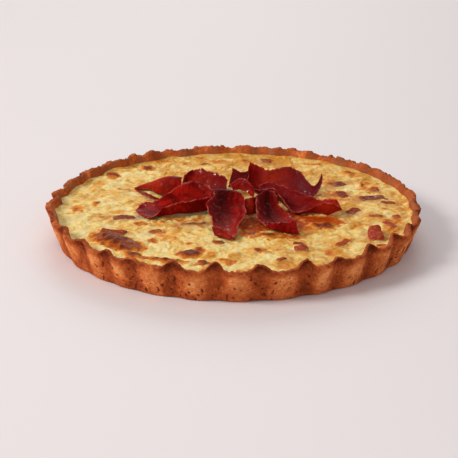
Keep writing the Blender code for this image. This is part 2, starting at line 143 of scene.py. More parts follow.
# Crisp ham slices: each sheet's three rails in mm (one edge, the middle, the other edge, from the inner
# end to the outer end), as in the CAD
SLICES = {
    "ham_slice_left": (
        (
            (-17, 0, 33.5), (-22, 6, 36.5), (-32, 10, 37), (-43, 6, 35),
            (-52, -1, 30), (-59, -1, 25), (-68, -3, 24.5),
        ),
        (
            (-16, -9, 22), (-22, -10, 21), (-29, -12, 21), (-39, -15, 21),
            (-49, -19, 21), (-60, -19, 21), (-74, -14, 22.5),
        ),
        (
            (-15.5, -13.5, 30.5), (-21, -13.5, 33), (-32, -20, 32), (-43, -22, 31.5),
            (-52, -25, 28), (-59, -28, 23), (-63, -31, 21),
        ),
    ),
    "ham_slice_far_left": (
        ((-43, 38, 22), (-48, 45, 21), (-56, 48, 21), (-63, 47, 21), (-70, 46, 21), (-78, 42, 21)),
        ((-40.5, 25, 34.5), (-48, 27, 35), (-57, 29, 32.5), (-64, 33, 28.5), (-70, 40, 24), (-79, 40, 21)),
        ((-42, 15, 24), (-49, 17, 23), (-57, 20, 22.5), (-65, 30, 22), (-71, 37, 21.5), (-78, 38, 21)),
    ),
    "ham_slice_far_left_under": (
        ((-51, 11, 22), (-58, 15, 21), (-66, 25, 21), (-73, 34, 21)),
        ((-53, 8, 22), (-60, 13, 21.5), (-68, 23, 21), (-75, 34, 21)),
        ((-54, 6, 22), (-62, 11, 22), (-69, 22, 21.5), (-77, 34, 21)),
    ),
    "ham_slice_back_left": (
        ((-5, 24, 34), (-12, 34, 35), (-18, 38, 35.5), (-25, 43, 36.5), (-34, 43, 35.5), (-39, 37, 33)),
        ((-6, 18, 27), (-12, 25, 22), (-20, 28, 21), (-28, 30, 21), (-36, 30, 21), (-41, 29, 23)),
        ((-5, 12, 30), (-11, 14, 28), (-19, 16, 27), (-28, 18, 26), (-35, 19, 25), (-38, 22, 25)),
    ),
    "ham_slice_back": (
        ((-1.5, 46, 36), (4, 45, 33), (11, 47, 33.5)),
        ((-3, 45, 28), (4, 43, 26), (12, 44, 27)),
        ((-5, 42, 21), (3, 39, 21), (12, 41, 21)),
    ),
    "ham_slice_back_right": (
        (
            (12, 46, 42), (20, 44, 38), (28, 40, 36), (42, 42, 39),
            (50, 38, 36.5), (61, 25, 28), (68, 31, 36.5),
        ),
        (
            (10, 28, 28), (19, 29, 22), (29, 28, 21), (41, 28, 21),
            (51, 27, 21), (60, 22, 21), (67, 25, 28.5),
        ),
        (
            (11, 16, 30), (20, 15, 28), (30, 15, 26), (41, 16, 25),
            (51, 17, 24), (59, 17.5, 22.5), (62, 19, 23),
        ),
    ),
    "ham_slice_right": (
        (
            (19, 9, 33), (27, 10, 36), (38, 7, 34), (48, 5, 31.5),
            (56, 1, 29), (63, -3, 28), (70, -8, 29.5), (76, -14, 31),
        ),
        (
            (20, 5, 30), (28, 3, 29), (37, -3, 24), (46, -9, 21),
            (55, -13, 21), (63, -17, 21), (71, -21, 22), (79, -20, 26),
        ),
        (
            (20, 1, 33), (29, 0, 35), (35, -9, 30.5), (43, -18, 23),
            (53, -20, 24.5), (62, -23, 30.5), (70, -25, 32), (77, -24, 29),
        ),
    ),
    "ham_slice_front_right": (
        ((31, -6, 32.5), (34, -14, 26), (40, -25, 24), (43, -38, 25), (46, -62, 21.5), (43.5, -54, 29.5)),
        ((25, -3, 34), (25, -13, 26), (27, -25, 21), (30, -38, 21), (34, -55, 21), (34, -56, 28.5)),
        ((16, -12, 33), (15.5, -22, 30.5), (16.5, -30, 27.5), (17, -42, 26), (22, -52, 23.5), (23, -50, 27)),
    ),
    "ham_slice_front_right_under": (
        ((15.2, -10, 31), (15.5, -14, 26), (16, -18, 21)),
        ((12, -11.5, 31.5), (12, -17, 26), (12, -21, 21)),
        ((8, -12.5, 30), (8, -16, 26), (8, -20, 21)),
    ),
    "ham_slice_front": (
        (
            (4, 5, 21), (5, 0, 29), (5.5, -9, 33), (8, -19, 29.5),
            (8, -40, 27), (2.5, -53, 25), (0, -72, 21.3), (1.5, -67, 23),
        ),
        (
            (-4, 6, 21), (-4, 1, 29), (-3, -7, 35.3), (-6, -18, 28),
            (-6, -33, 23), (-6, -49, 21), (-8, -67, 21), (-7, -62, 26.5),
        ),
        (
            (-9, 3, 23), (-11, -2, 30), (-17.5, -6, 36), (-15.5, -15, 34),
            (-21, -27, 32), (-16.5, -46, 26), (-14.5, -63, 21.3), (-17, -58, 26.3),
        ),
    ),
    "ham_slice_centre": (
        ((-2, 14, 31), (4, 17, 33), (10, 13, 34), (15, 5, 31)),
        ((-3, 9, 34.5), (4, 10, 38.5), (10, 7, 37.5), (15, -2, 33)),
        ((-1, 5, 31.5), (4, 4.5, 32), (9, 0, 31.5), (14, -6, 29.5)),
    ),
}

# ---------------------------------------------------------------- looks only

# Browned spots on the custard: x, y, length, width in mm, angle in degrees, strength from 0 to 1
SPOTS = (
    (-71, 93, 12, 13, 0, 0.75), (-60, 114, 14, 8, 10, 0.5), (-98, 75, 10, 12, 0, 0.8),
    (-119, -5, 9, 12, 0, 0.6), (-73, 55, 14, 10, 20, 0.45), (-38, 106, 12, 9, 0, 0.45),
    (-14, 113, 18, 9, 0, 0.6), (8, 112, 14, 9, 0, 0.5), (66, 104, 18, 9, -25, 0.5),
    (108, 39, 10, 12, 0, 0.7), (79, 55, 22, 18, 0, 0.5), (80, 29, 14, 18, 0, 0.6),
    (64, -42, 17, 14, 20, 0.95), (24, -57, 18, 7, -8, 0.75), (33, -63, 14, 6, -25, 0.7),
    (42, -69, 14, 9, -10, 0.4), (-69, -37, 11, 9, -10, 0.7), (-48, -66, 22, 18, 0, 0.35),
    (-31, -95, 18, 15, 10, 1.0), (-24, -88, 7, 12, 0, 0.8), (-46, -108, 26, 7, -14, 0.8),
    (-61, -101, 16, 7, -30, 0.8), (-21, -112, 9, 9, 0, 0.9), (-3, -110, 9, 14, 0, 0.7),
    (21, -89, 14, 14, 0, 0.4), (65, -92, 8, 9, 0, 0.7), (76, -74, 20, 10, 50, 0.5),
    (-53, -53, 14, 10, 20, 0.45), (-58, -70, 10, 7, -20, 0.8), (-83, -73, 44, 19, -41, 1.0),
    (-70, -96, 13, 10, -35, 0.9), (114, -34, 20, 16, 0, 0.5), (104, -21, 16, 9, 0, 0.5),
    (120, -24, 9, 10, 0, 0.6), (92, 78, 20, 9, -40, 0.55), (30, 116, 12, 8, 0, 0.8),
    (-106, 8, 4, 9, 0, 0.55), (-82, -9, 16, 6, 5, 0.4), (-86, 42, 16, 8, 0, 0.45),
)

# Where the ham's oil has stained the custard, and in the last two, orange painted into the shade under the
# left slice's front edge: x, y, length, width in mm, angle in degrees, strength from 0 to 1
OIL_STAINS_AND_SHADE = (
    (34, -34, 80, 34, -6, 0.9), (12, -40, 24, 52, 0, 0.95), (56, -27, 54, 26, -10, 1.0),
    (66, -38, 26, 16, 0, 0.9), (42, -16, 24, 26, 0, 0.95), (28, -58, 48, 14, -14, 0.8),
    (-66, 8, 26, 16, 20, 0.35), (76, 22, 34, 40, 0, 0.45), (-42, -27, 62, 18, 8, 0.35),
    (-24, -34, 22, 26, 0, 0.3),
)

# How purple each slice is at its inner end and its outer end: 0 or less is red, and 1 or more is purple. On
# the back right slice's outer end and on the front slice, the purple also stands for a painted grey sheen
PURPLE_AND_SHEEN = {
    "ham_slice_back": (0.9, 0.8),
    "ham_slice_back_left": (0.75, -0.1),
    "ham_slice_back_right": (0.1, 1.25),
    "ham_slice_front": (0.0, 0.15),
    "ham_slice_front_right": (0.2, 0.1),
    "ham_slice_left": (-0.3, -0.3),
    "ham_slice_right": (0.7, 0.0),
}

# How dark the painted shade is in the trough along a slice, from 0 to 1, and how far off its middle it lies,
# from -1 to 1
HOLLOW_SHADE = {
    "ham_slice_front_right": (0.85, 0.1),
    "ham_slice_front": (0.95, 0.35),
    "ham_slice_left": (0.1, 0.0),
    "ham_slice_back_right": (0.0, 0.0),
}

# How far the frills along a slice's edges reach, in mm
FRILL = {
    "ham_slice_back_left": 1.5,
    "ham_slice_front_right": 1.2,
    "ham_slice_right": 1.2,
    "ham_slice_front": 1.0,
    "ham_slice_left": 0.8,
}

# How much of a slice's length is missing at its first edge, so that its outer end is cut at a slant
END_SLANT = {"ham_slice_front": 0.08, "ham_slice_left": 0.02}

# Where light comes through a slice: how far along it, over what share of its length, and how strongly
GLOW = {
    "ham_slice_back_right": (0.38, 0.16, 0.9),
    "ham_slice_far_left": (0.55, 0.3, 0.6),
    "ham_slice_back_left": (0.5, 0.3, 0.4),
    "ham_slice_right": (0.85, 0.2, 0.6),
    "ham_slice_left": (0.35, 0.3, 0.05),
    "ham_slice_front": (0.85, 0.16, 0.45),
    "ham_slice_front_right_under": (0.5, 0.5, 0.45),
}

# What a slice has that isn't named in those lists
PLAIN_PURPLE = (0.0, 0.0)
PLAIN_HOLLOW_SHADE = (0.2, 0.0)
PLAIN_FRILL = 0.6
PLAIN_GLOW = (0.5, 0.3, 0.1)

# Pastry
CRUST_STEPS = 40 * FLUTES
CRUST_ROWS = 38
RIM_ROWS = 12
INNER_ROWS = 8
WALL_START = 0.75 * FOOT_HEIGHT  # the wall's own rows begin at this height, above the foot's rounded edge
FOOT_EDGE = (0.8 * MM, 0.35 * MM)  # that edge passes this far inside the wall, at this height
INNER_END = 16 * MM  # the inner side's rows end at this height, below the custard's surface
RIM_LIP = 0.4 * MM  # how far the rim's inner edge lies outside the wall's inner side
RIM_ROUNDNESS = 0.7  # 1 gives an oval rim, and less gives a flatter one
FINE_CRUMBS = (330, 12.3)
FINE_CRUMB = 0.5 * MM
WALL_SWELL = 0.35 * MM  # how far the wall's swells and crumbs stand in and out
WALL_CRUMB = 0.25 * MM
RIM_CRUMB = 0.7 * MM  # how far the rim's crumbs and torn grains stand up and down
RIM_GRAIN = 0.35 * MM
PITS = 420
PIT_DEPTH = 0.5 * MM

# Custard
CUSTARD_CELLS = 290
CUSTARD_OVERLAP = 0.3 * MM  # how far its edge goes into the wall, so that no gap shows
EDGE_LEVEL = 21 * MM  # the height at which the wall's inner side gives its outline
UNDERSIDE_SHARE = 0.965  # the size of its underside as a share of its top
UNDERSIDE_LEVEL = FLOOR_THICKNESS + 0.5 * MM
LARGE_CURD = 2.5 * MM  # the relief of the curds
SMALL_CURD = 1.4 * MM
FINE_CURD = 0.12 * MM
MEAN_CURD = 0.22  # the usual size of noise, taken off so that the curds rise and fall about the level
WARP = 3 * MM  # how far the curds and browned places are pushed out of shape
CLIMB_WIDTH = 3.5 * MM  # how near the wall the custard climbs it, and how far and how unevenly it climbs
CLIMB = 0.9 * MM
CLIMB_CHANGE = 0.7 * MM
DICE_RING = 0.5 * MM  # how far the custard rises round a piece of diced ham
HERBS = 90
HERB_REACH = 122 * MM

# Diced ham
DICE_CELLS = 12
DICE_ROUNDING = 0.36  # the radius of its edges as a share of its shortest side
DICE_TEARS = ((6 * MM, 1.4 * MM), (2.6 * MM, 0.7 * MM))  # the length and the depth of its sides' waves

# Crisp ham
SLICE_ROWS_PER_SPAN = 12
SLICE_COLUMNS = 44
SHEET_THICKNESS = 0.75 * MM
FRILL_LENGTH = 5.2 * MM
CRINKLE_LENGTH = 3.0 * MM  # smaller frills along the edges
CRINKLE = 0.45 * MM
WAVE_LENGTH = 7 * MM  # waves all over the sheet
WAVE = 0.5 * MM
# How far the long edges are torn in, as a share of half the width, how many waves the tears have along the
# slice, and how many across it
EDGE_TEARS = ((0.05, 9, 0.6), (0.05, 31, 1), (0.03, 75, 1))
END_TEAR = 0.03  # how far the ends are torn in, as a share of the length
PALE_EDGE = 0.4 * MM  # how wide the pale line along its edges is

# The camera, from the outlines of the rim, the foot and the stand in the photo
CAMERA_PLACE = (-0.00413, -0.900, 0.34546)
CAMERA_DIP = 0.3647  # how far it looks down, in radians
CAMERA_LENS = 99.31  # in mm, for a sensor 36 mm wide


def lattice(*values):
    """Smooth noise from -1 to 1 at a point whose coordinates are given."""
    return noise.noise(Vector(values))


def round_noise(angle, waves, row):
    """Smooth noise that closes on itself round the quiche."""
    reach = waves / TAU
    return lattice(reach * math.cos(angle), reach * math.sin(angle), row)


def field(points, length, row, octaves=1):
    """Smooth noise at each point, with features of about this length. Each row is another noise."""
    shift = Vector((row, 2.7 * row, -1.3 * row))
    if octaves == 1:
        return np.array([noise.noise(Vector(p) / length + shift) for p in points])
    return np.array([noise.fractal(Vector(p) / length + shift, 1.0, 2.0, octaves) for p in points])


def smooth(values, low, high):
    """0 below low and 1 above high, with a soft step between them."""
    t = np.clip((values - low) / (high - low), 0, 1)
    return t * t * (3 - 2 * t)


def blob(x, y, spec, power=0.8):
    """1 at the middle of an ellipse and 0 outside it. The ellipse is given in mm and degrees."""
    centre_x, centre_y, length, width, angle = spec[:5]
    turn = math.radians(angle)
    dx, dy = x - centre_x * MM, y - centre_y * MM
    along = (dx * math.cos(turn) + dy * math.sin(turn)) / (length * MM / 2)
    across = (dy * math.cos(turn) - dx * math.sin(turn)) / (width * MM / 2)
    return np.maximum(0.0, 1 - along**2 - across**2) ** power


def grid_faces(rows, columns):
    """The faces of a grid of this many cells. Its points run row after row."""
    line = columns + 1
    starts = [row * line + column for row in range(rows) for column in range(columns)]
    return [(a, a + 1, a + line + 1, a + line) for a in starts]


def make(name, points, faces, masks, finish, slot, *nodes):
    """A shown piece from points and faces, with its masks as attributes, in place of these CAD nodes."""
    mesh = bpy.data.meshes.new(name)
    mesh.from_pydata([tuple(p) for p in points], [], [tuple(f) for f in faces])
    mesh.shade_smooth()
    for label, values in masks.items():
        attribute = mesh.attributes.new(label, "FLOAT", "POINT")
        attribute.data.foreach_set("value", np.asarray(values, np.float32))
    mesh.materials.append(finish)
    obj = bpy.data.objects.new(name, mesh)
    bpy.context.scene.collection.objects.link(obj)
    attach(obj, "root")
    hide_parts(*nodes)
    return obj


# ---------------------------------------------------------------- materials


class Finish:
    """A Principled material that is put together from a few kinds of node."""

    def __init__(self, name):
        self.material = bpy.data.materials.new(name)
        self.material.use_nodes = True
        self.tree = self.material.node_tree
        self.shader = self.tree.nodes["Principled BSDF"]
        self.place = self.tree.nodes.new("ShaderNodeTexCoord").outputs["Object"]

    def node(self, kind, **settings):
        made = self.tree.nodes.new(kind)
        for key, value in settings.items():
            setattr(made, key, value)
        return made

    def put(self, socket, value):
        if isinstance(value, bpy.types.NodeSocket):
            self.tree.links.new(value, socket)
        elif isinstance(value, tuple) and len(value) == 3 and socket.type == "RGBA":
            socket.default_value = (*value, 1)
        else:
            socket.default_value = value

    def mask(self, label):
        return self.node("ShaderNodeAttribute", attribute_name=label).outputs["Fac"]

    def noise(self, length, detail=3.0, roughness=0.55, distortion=0.0, stretch=None):
        """Noise from 0 to 1 with features of this length, in metres."""
        made = self.node("ShaderNodeTexNoise")
        made.inputs["Scale"].default_value = 1 / length
        made.inputs["Detail"].default_value = detail
        made.inputs["Roughness"].default_value = roughness
        made.inputs["Distortion"].default_value = distortion
        place = self.place
        if stretch:
            mapping = self.node("ShaderNodeMapping")
            mapping.inputs["Scale"].default_value = stretch
            self.put(mapping.inputs["Vector"], place)
            place = mapping.outputs["Vector"]
        self.put(made.inputs["Vector"], place)
        return made.outputs["Fac"]

    def combine(self, operation, first, second, clamp):
        made = self.node("ShaderNodeMath", operation=operation, use_clamp=clamp)
        self.put(made.inputs[0], first)
        self.put(made.inputs[1], second)
        return made.outputs[0]

    def sum(self, first, second, clamp=False):
        return self.combine("ADD", first, second, clamp)

    def product(self, first, second, clamp=False):
        return self.combine("MULTIPLY", first, second, clamp)

    def step(self, value, low, high, bottom=0.0, top=1.0):
        """A soft step in a value, from bottom at low to top at high."""
        made = self.node("ShaderNodeMapRange", interpolation_type="SMOOTHSTEP")
        self.put(made.inputs["Value"], value)
        for key, number in (("From Min", low), ("From Max", high), ("To Min", bottom), ("To Max", top)):
            made.inputs[key].default_value = number
        return made.outputs["Result"]

    def ramp(self, value, *stops):
        """A colour from a value. Each stop is its place from 0 to 1 and its colour."""
        made = self.node("ShaderNodeValToRGB")
        elements = made.color_ramp.elements
        while len(elements) < len(stops):
            elements.new(0.5)
        for element, (place, colour) in zip(elements, stops):
            element.position = place
            element.color = (*colour, 1)
        self.put(made.inputs["Fac"], value)
        return made.outputs["Color"]

    def blend(self, share, under, over):
        """A colour that goes from under to over. Inputs 6 and 7 and output 2 are the node's colours."""
        made = self.node("ShaderNodeMix", data_type="RGBA", blend_type="MIX")
        self.put(made.inputs["Factor"], share)
        self.put(made.inputs[6], under)
        self.put(made.inputs[7], over)
        return made.outputs[2]

    def bump(self, height, depth, under=None):
        """Relief of this depth in metres, on top of the relief under it."""
        made = self.node("ShaderNodeBump")
        made.inputs["Strength"].default_value = 1.0
        made.inputs["Distance"].default_value = depth
        self.put(made.inputs["Height"], height)
        if under is not None:
            self.put(made.inputs["Normal"], under)
        return made.outputs["Normal"]

    def done(self, colour, roughness, normal, **others):
        """The finished material. The other sockets are named with _ for a space."""
        self.put(self.shader.inputs["Base Color"], colour)
        self.put(self.shader.inputs["Roughness"], roughness)
        self.put(self.shader.inputs["Normal"], normal)
        for key, value in others.items():
            self.put(self.shader.inputs[key.replace("_", " ")], value)
        return self.material


def pastry_finish():
    make_it = Finish("baked_pastry")
    coarse = make_it.noise(8 * MM, 5, 0.6)
    grain = make_it.noise(1.5 * MM, 4, 0.7)
    # The browning mask holds the grooves' painted shade as well as the pastry's baked colour
    bake_and_groove_shade = make_it.sum(make_it.mask("browning"), make_it.step(coarse, 0.3, 0.7, -0.08, 0.08))
    bake_and_groove_shade = make_it.sum(bake_and_groove_shade, make_it.step(grain, 0.3, 0.7, -0.1, 0.1), clamp=True)
    colour = make_it.ramp(
        bake_and_groove_shade,
        (0.0, (0.86, 0.345, 0.115)),
        (0.2, (0.67, 0.185, 0.050)),
        (0.45, (0.42, 0.080, 0.019)),
        (0.75, (0.17, 0.026, 0.006)),
        (1.0, (0.07, 0.009, 0.003)),
    )
    colour = make_it.blend(make_it.mask("floury"), colour, (0.52, 0.19, 0.075))
    # Painted shade inside the pits, which are also cut into the wall
    pit = make_it.step(make_it.mask("pit"), 0.2, 0.6, 0, 0.9)
    colour = make_it.blend(pit, colour, (0.13, 0.017, 0.006))
    specks = make_it.step(make_it.noise(1.7 * MM, 3, 0.6), 0.64, 0.70, 0, 0.6)
    colour = make_it.blend(specks, colour, (0.20, 0.036, 0.009))
    bump = make_it.bump(grain, 0.3 * MM, make_it.bump(coarse, 0.6 * MM))
    return make_it.done(
        colour, make_it.step(grain, 0.2, 0.8, 0.62, 0.8), bump,
        Specular_IOR_Level=0.05, Subsurface_Weight=0.05, Subsurface_Scale=2 * MM,
    )


def custard_finish():
    make_it = Finish("baked_custard")
    curd = make_it.noise(6 * MM, 4, 0.55, 0.8)
    fine = make_it.noise(1.8 * MM, 3, 0.6)
    # The tone mask holds painted warm shade in the curds' creases as well as the custard's own colour
    tone = make_it.sum(make_it.mask("tone"), make_it.step(curd, 0.3, 0.7, -0.26, 0.26))
    tone = make_it.sum(tone, make_it.step(fine, 0.3, 0.7, -0.05, 0.05), clamp=True)
    colour = make_it.ramp(
        tone,
        (0.0, (0.87, 0.70, 0.33)),
        (0.3, (0.86, 0.625, 0.215)),
        (0.6, (0.78, 0.44, 0.115)),
        (1.0, (0.62, 0.26, 0.03)),
    )
    # An olive tint at the left edge, and olive-grey painted as shade in the low places between the curds
    colour = make_it.blend(make_it.mask("green_and_dip_shade"), colour, (0.60, 0.47, 0.19))
    colour = make_it.blend(make_it.mask("juice"), colour, (0.42, 0.13, 0.070))
    # Oil stains, and orange painted into the shade under the left slice's front edge
    oil_stain_and_shade = make_it.sum(make_it.mask("oil_stain_and_shade"), make_it.step(curd, 0.35, 0.65, -0.2, 0.2), clamp=True)
    colour = make_it.blend(make_it.step(oil_stain_and_shade, 0.08, 0.55), colour, (0.68, 0.19, 0.025))
    colour = make_it.blend(make_it.step(oil_stain_and_shade, 0.35, 0.9), colour, (0.44, 0.050, 0.004))
    brown = make_it.sum(make_it.mask("brown"), make_it.step(curd, 0.3, 0.7, -0.12, 0.12))
    brown = make_it.sum(brown, make_it.step(fine, 0.3, 0.7, -0.07, 0.07), clamp=True)
    baked = make_it.ramp(
        brown,
        (0.0, (0.86, 0.50, 0.08)),
        (0.3, (0.74, 0.26, 0.03)),
        (0.6, (0.42, 0.085, 0.012)),
        (0.85, (0.17, 0.028, 0.007)),
        (1.0, (0.10, 0.014, 0.005)),
    )
    colour = make_it.blend(make_it.step(brown, 0.06, 0.36), colour, baked)
    colour = make_it.blend(make_it.mask("scorch"), colour, (0.085, 0.012, 0.008))
    colour = make_it.blend(make_it.mask("herb"), colour, (0.09, 0.055, 0.03))
    oily = make_it.step(make_it.mask("gloss"), 0, 1, 0, 0.035)
    wet = make_it.step(make_it.sum(make_it.noise(3 * MM, 3, 0.6), oily), 0.66, 0.72, 0, 0.6)
    bump = make_it.bump(fine, 0.16 * MM, make_it.bump(curd, 1.2 * MM))
    return make_it.done(
        colour, make_it.step(brown, 0.1, 0.8, 0.5, 0.35), bump,
        Specular_IOR_Level=0.03, Subsurface_Weight=0.3, Subsurface_Scale=2.5 * MM,
        Subsurface_Radius=(1.0, 0.45, 0.15), Coat_Weight=wet, Coat_Roughness=0.2,
    )


def diced_finish():
    make_it = Finish("diced_ham")
    grain = make_it.noise(2.4 * MM, 4, 0.65, 1.2)
    fibre = make_it.noise(3.5 * MM, 2, 0.5, 0.4, (1, 3.2, 1.6))
    purple = make_it.sum(make_it.mask("purple"), make_it.step(grain, 0.3, 0.7, -0.4, 0.4), clamp=True)
    colour = make_it.blend(purple, (0.44, 0.058, 0.026), (0.135, 0.033, 0.038))
    colour = make_it.blend(make_it.step(fibre, 0.52, 0.66, 0, 0.55), colour, (0.62, 0.22, 0.15))
    colour = make_it.blend(make_it.step(grain, 0.54, 0.66, 0, 0.85), colour, (0.12, 0.012, 0.009))
    colour = make_it.blend(make_it.mask("browning"), colour, (0.26, 0.055, 0.014))
    colour = make_it.blend(make_it.mask("sunk"), colour, (0.66, 0.32, 0.10))
    wet = make_it.step(make_it.noise(2.5 * MM, 2, 0.6), 0.62, 0.7, 0, 0.6)
    bump = make_it.bump(grain, 0.6 * MM, make_it.bump(fibre, 0.6 * MM))
    return make_it.done(
        colour, make_it.step(grain, 0.3, 0.7, 0.28, 0.45), bump,
        Specular_IOR_Level=0.0, Subsurface_Weight=0.15, Subsurface_Scale=2 * MM,
        Coat_Weight=wet, Coat_Roughness=0.15,
    )


def crisp_finish():
    make_it = Finish("crisp_ham")
    cloud = make_it.noise(11 * MM, 3, 0.5, 0.5)
    grain = make_it.noise(2.2 * MM, 4, 0.65)
    patch = make_it.noise(5 * MM, 2, 0.5)
    streak = make_it.mask("streak")
    purple = make_it.sum(make_it.mask("purple"), make_it.step(cloud, 0.35, 0.65, -0.2, 0.15), clamp=True)
    purple = make_it.product(purple, make_it.step(streak, 0.3, 0.7, 0.5, 1.0))
    tone = make_it.sum(cloud, make_it.step(grain, 0.3, 0.7, -0.1, 0.1))
    colour = make_it.ramp(
        make_it.sum(tone, make_it.step(streak, 0.3, 0.7, -0.12, 0.12)),
        (0.3, (0.14, 0.002, 0.0015)),
        (0.5, (0.21, 0.0030, 0.0018)),
        (0.75, (0.36, 0.008, 0.004)),
    )
    glow = make_it.product(make_it.mask("glow"), make_it.step(grain, 0.3, 0.7, 0.7, 1.0))
    colour = make_it.blend(glow, colour, (0.62, 0.045, 0.012))
    # Purple, which on the back right and front slices also stands for a painted grey sheen
    colour = make_it.blend(purple, colour, (0.14, 0.015, 0.019))
    # Painted shade in the trough along each slice
    colour = make_it.blend(make_it.mask("hollow_shade"), colour, (0.040, 0.002, 0.002))
    edge = make_it.product(make_it.mask("edge"), make_it.step(patch, 0.38, 0.62, 0.05, 1.0), clamp=True)
    colour = make_it.blend(edge, colour, (0.46, 0.085, 0.060))
    wet = make_it.step(make_it.noise(3.6 * MM, 3, 0.6, 0.4), 0.59, 0.68, 0, 0.8)
    bump = make_it.bump(grain, 0.4 * MM, make_it.bump(patch, 0.7 * MM, make_it.bump(cloud, 0.8 * MM)))
    return make_it.done(
        colour, make_it.step(grain, 0.3, 0.7, 0.24, 0.4), bump,
        Specular_IOR_Level=0.02, Subsurface_Weight=0.3, Subsurface_Scale=2.5 * MM,
        Subsurface_Radius=(1.0, 0.08, 0.05), Coat_Weight=wet, Coat_Roughness=0.1,
    )


# ---------------------------------------------------------------- pastry shell


def flute_jitter(index):
    """(turn, depth, peak) of one groove: how far it is off its even place, and how deep and tall it is."""
    draw = random.Random(f"groove {index % FLUTES}")
    any_turn = (draw.uniform(-1.2, 1.2), 1, 0)
    turn, depth, taller = GROOVE_SHAPES.get(index % FLUTES, any_turn)
    peak = GROOVE_PEAK * draw.uniform(0.15, 1.0) + taller * MM
    return math.radians(turn), depth * draw.uniform(0.75, 1.15), peak


def station(share):
    """(angle, groove, depth, lean, peak) at a place round the wall, counted in flutes."""
    low = math.floor(share)
    along = share - low
    first, second = flute_jitter(low), flute_jitter(low + 1)
    turn, depth, peak = (a + (b - a) * along for a, b in zip(first, second))
    angle = FIRST_GROOVE + share * TAU / FLUTES + turn
    groove = (0.5 + 0.5 * math.cos(TAU * share)) ** GROOVE_SHARPNESS
    lean = LEANING_LOBES.get(low % FLUTES, 0) * MM * math.sin(math.pi * along) ** 2
    return angle, groove, depth, lean, peak * groove**2


def outer_radius(flute, height):
    """The wall's outer side. A flute is its groove, from 0 to 1, its depth and its lean."""
    groove, depth, lean = flute
    share = height / WALL_HEIGHT
    radius = BASE_RADIUS + (RIM_RADIUS - BASE_RADIUS) * share
    radius += lean * (LEAN_AT_BASE + (1 - LEAN_AT_BASE) * share)
    reach = GROOVE_DEPTH_AT_BASE + (GROOVE_DEPTH - GROOVE_DEPTH_AT_BASE) * share
    return radius - reach * depth * groove


def inner_radius(flute, height):
    """The wall's inner side, where the grooves are rounder."""
    groove, depth, lean = flute
    return outer_radius((groove * INNER_GROOVES, depth, lean), height) - WALL_THICKNESS


STATIONS = [station(step * FLUTES / CRUST_STEPS) for step in range(CRUST_STEPS)]
ANGLES, GROOVES, DEPTHS, LEANS, PEAKS = (np.array(column) for column in zip(*STATIONS))
FLUTE = (GROOVES, DEPTHS, LEANS)


def rim_top():
    """The rim's height all round: uneven, and taller and more crumbly at the back."""
    back = 0.5 + 0.5 * np.sin(ANGLES)
    crag = np.array([
        RIM_CRAG * (round_noise(a, *CRAGS) + CRUMB_SHARE * round_noise(a, *CRUMBS))
        + FINE_CRUMB * round_noise(a, *FINE_CRUMBS)
        for a in ANGLES
    ])
    block = np.array([np.clip(round_noise(a, *BLOCKS) / BLOCK_SIDE + 0.5, 0, 1) for a in ANGLES])
    left = np.maximum(0, -np.cos(ANGLES)) ** 2
    level = WALL_HEIGHT - FRONT_DIP + BACK_RISE * back + LEFT_RISE * left
    return level + RIM_BLOCK * back * block + crag + PEAKS


def crust_rows():
    """The wall's rows from the foot up the outer side, over the rim and down the inner side.

    Each row is (radius, height, share of the wall's height, side), where side goes from 0 outside to 1
    inside.
    """
    top = rim_top()
    edge_inset, edge_height = FOOT_EDGE
    rows = [(outer_radius(FLUTE, 0) - FOOT_INSET, np.zeros(CRUST_STEPS), 0.0, 0.0)]
    rows.append((outer_radius(FLUTE, 0) - edge_inset, np.full(CRUST_STEPS, edge_height), 0.0, 0.0))
    for share in np.linspace(0, 1, CRUST_ROWS):
        height = WALL_START + (top - RIM_SHOULDER - WALL_START) * share
        rows.append((outer_radius(FLUTE, np.minimum(height, WALL_HEIGHT)), height, share, 0.0))
    outer = rows[-1][0]
    inner = inner_radius(FLUTE, WALL_HEIGHT) + RIM_LIP
    for turn in np.linspace(0, math.pi, RIM_ROWS + 1)[1:]:
        across = (1 - math.cos(turn)) / 2
        rise = math.sin(turn) ** RIM_ROUNDNESS
        rows.append((outer + (inner - outer) * across, top - RIM_SHOULDER * (1 - rise), 1.0, across))
    for share in np.linspace(0, 1, INNER_ROWS + 1)[1:]:
        height = (top - RIM_SHOULDER) * (1 - share) + INNER_END * share
        rows.append((inner_radius(FLUTE, np.minimum(height, WALL_HEIGHT)), height, 1 - share, 1.0))
    rows.append((inner_radius(FLUTE, FLOOR_THICKNESS), np.full(CRUST_STEPS, FLOOR_THICKNESS), 0.0, 1.0))
    return rows


def wall_points(radius, height):
    """The wall's points, row after row, from the radius and the height of each."""
    return np.stack([radius * np.cos(ANGLES), radius * np.sin(ANGLES), height], axis=-1).reshape(-1, 3)


